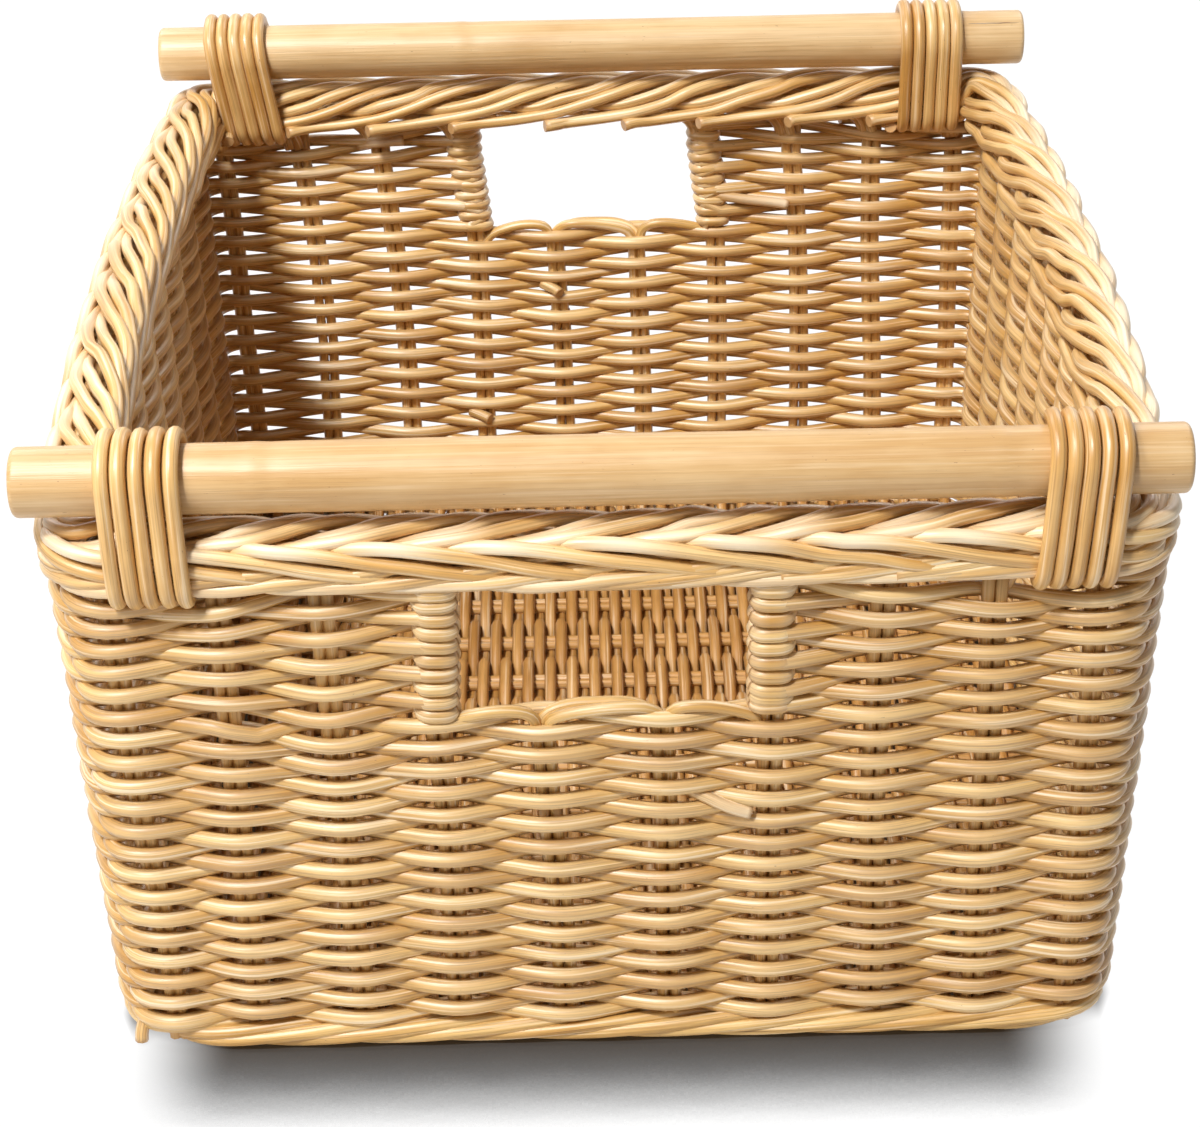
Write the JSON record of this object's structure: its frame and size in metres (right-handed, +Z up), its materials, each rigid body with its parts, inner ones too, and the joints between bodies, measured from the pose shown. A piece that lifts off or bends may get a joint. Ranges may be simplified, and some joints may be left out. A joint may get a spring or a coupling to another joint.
{
  "type": "storage basket",
  "caption": "Rectangular open-top woven rattan basket with round poles lashed along its front and back rims, and a hand hole in the front and back walls.",
  "frame": {"origin": "on the floor, under the middle of the basket", "axes": "+X along the poles to the right, +Y from the front wall to the back wall, +Z up"},
  "size_m": [0.411, 0.4562, 0.2621],
  "materials": {
    "pole_cane": "smooth satin rattan pole",
    "reed": "glossy round reed",
    "woven_cane": "satin woven round cane",
    "stake_cane": "satin round cane"
  },
  "bodies": {
    "root": {"front_pole": "pole_cane", "back_pole": "pole_cane", "front_lashing_a": "reed", "front_lashing_b": "reed", "back_lashing_a": "reed", "back_lashing_b": "reed", "front_border": "woven_cane", "right_border": "woven_cane", "back_border": "woven_cane", "left_border": "woven_cane", "front_wall": "woven_cane", "right_wall": "woven_cane", "back_wall": "woven_cane", "left_wall": "woven_cane", "front_foot": "woven_cane", "right_foot": "woven_cane", "back_foot": "woven_cane", "left_foot": "woven_cane", "base": "woven_cane", "front_sill": "stake_cane", "back_sill": "stake_cane", "front_stake_pair_01": "stake_cane", "front_stake_pair_02": "stake_cane", "front_stake_pair_03": "stake_cane", "front_stake_pair_04": "stake_cane", "front_stake_pair_07": "stake_cane", "front_stake_pair_08": "stake_cane", "front_stake_pair_09": "stake_cane", "front_stake_pair_10": "stake_cane", "right_stake_pair_01": "stake_cane", "right_stake_pair_02": "stake_cane", "right_stake_pair_03": "stake_cane", "right_stake_pair_04": "stake_cane", "right_stake_pair_05": "stake_cane", "right_stake_pair_06": "stake_cane", "right_stake_pair_07": "stake_cane", "right_stake_pair_08": "stake_cane", "right_stake_pair_09": "stake_cane", "right_stake_pair_10": "stake_cane", "right_stake_pair_11": "stake_cane", "back_stake_pair_01": "stake_cane", "back_stake_pair_02": "stake_cane", "back_stake_pair_03": "stake_cane", "back_stake_pair_04": "stake_cane", "back_stake_pair_07": "stake_cane", "back_stake_pair_08": "stake_cane", "back_stake_pair_09": "stake_cane", "back_stake_pair_10": "stake_cane", "left_stake_pair_01": "stake_cane", "left_stake_pair_02": "stake_cane", "left_stake_pair_03": "stake_cane", "left_stake_pair_04": "stake_cane", "left_stake_pair_05": "stake_cane", "left_stake_pair_06": "stake_cane", "left_stake_pair_07": "stake_cane", "left_stake_pair_08": "stake_cane", "left_stake_pair_09": "stake_cane", "left_stake_pair_10": "stake_cane", "left_stake_pair_11": "stake_cane"}
  },
  "joints": []
}
